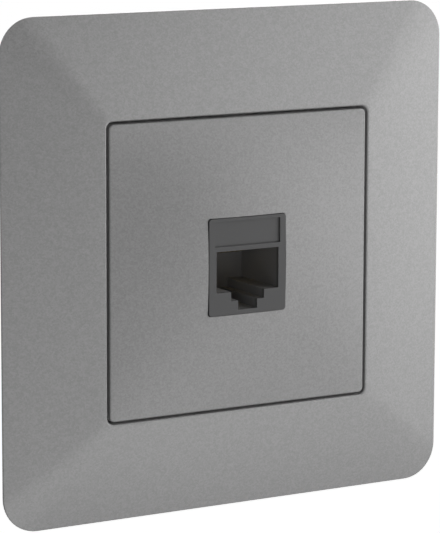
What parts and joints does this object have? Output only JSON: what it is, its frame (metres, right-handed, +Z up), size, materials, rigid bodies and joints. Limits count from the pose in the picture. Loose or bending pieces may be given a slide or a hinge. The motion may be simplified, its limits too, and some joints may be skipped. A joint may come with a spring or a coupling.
{
  "type": "ethernet wall socket",
  "caption": "Square flush-mounted data wall socket: convex grey cover frame, pillow-shaped centre plate and a dark plug jack, on a steel mounting plate with spreading claws.",
  "frame": {"origin": "middle of the box-screw pattern, in the plane of the wall that the cover frame's back lies on", "axes": "+Z up, the front faces -Y, +Y goes into the wall box"},
  "size_m": [0.083, 0.0308, 0.083],
  "materials": {
    "grey_paint": "satin metallic paint with a fine flake",
    "jack_plastic": "fine matt moulding",
    "comb_plastic": "matt moulding",
    "carrier_plastic": "matt moulding",
    "block_plastic": "semi-matt moulding",
    "cap_plastic": "smooth moulding",
    "board_green": "solder mask over copper",
    "contact_gold": "gold plated spring wire",
    "tinned_bronze": "tinned",
    "zinc_steel": "zinc plated and passivated",
    "claw_steel": "zinc plated, duller than the plate",
    "screw_steel": "zinc plated with a yellow tint"
  },
  "bodies": {
    "socket": {"cover_frame": "grey_paint", "centre_plate": "grey_paint", "jack_housing": "jack_plastic", "contact_comb": "comb_plastic", "circuit_board": "board_green", "idc_block": "block_plastic", "jack_carrier": "carrier_plastic", "mounting_plate": "zinc_steel", "contact_1": "contact_gold", "idc_contact_1": "tinned_bronze", "contact_2": "contact_gold", "idc_contact_2": "tinned_bronze", "contact_3": "contact_gold", "idc_contact_3": "tinned_bronze", "contact_4": "contact_gold", "idc_contact_4": "tinned_bronze", "contact_5": "contact_gold", "idc_contact_5": "tinned_bronze", "contact_6": "contact_gold", "idc_contact_6": "tinned_bronze", "contact_7": "contact_gold", "idc_contact_7": "tinned_bronze", "contact_8": "contact_gold", "idc_contact_8": "tinned_bronze", "dust_cap_left": "cap_plastic", "claw_pin_left": "zinc_steel", "dust_cap_right": "cap_plastic", "claw_pin_right": "zinc_steel"},
    "left_claw": {"claw_left": "claw_steel"},
    "left_screw": {"claw_screw_left": "screw_steel"},
    "right_claw": {"claw_right": "claw_steel"},
    "right_screw": {"claw_screw_right": "screw_steel"}
  },
  "joints": [
    {"name": "left_screw_turn", "type": "hinge", "parent": "socket", "child": "left_screw", "pos_m": [-0.024, 0, 0], "axis": [0, 1, 0], "range_deg": [0, 1440]},
    {"name": "left_claw_swing", "type": "hinge", "parent": "socket", "child": "left_claw", "pos_m": [-0.0195, 0.0052, 0], "axis": [0, 0, 1], "range_deg": [0, 25.5]},
    {"name": "right_screw_turn", "type": "hinge", "parent": "socket", "child": "right_screw", "pos_m": [0.024, 0, 0], "axis": [0, 1, 0], "range_deg": [0, 1440]},
    {"name": "right_claw_swing", "type": "hinge", "parent": "socket", "child": "right_claw", "pos_m": [0.0195, 0.0052, 0], "axis": [0, 0, -1], "range_deg": [0, 25.5]}
  ],
  "couplings": [
    {"joint": "left_claw_swing", "follows": "left_screw_turn", "ratio": 0.01768},
    {"joint": "right_claw_swing", "follows": "right_screw_turn", "ratio": 0.01768}
  ]
}
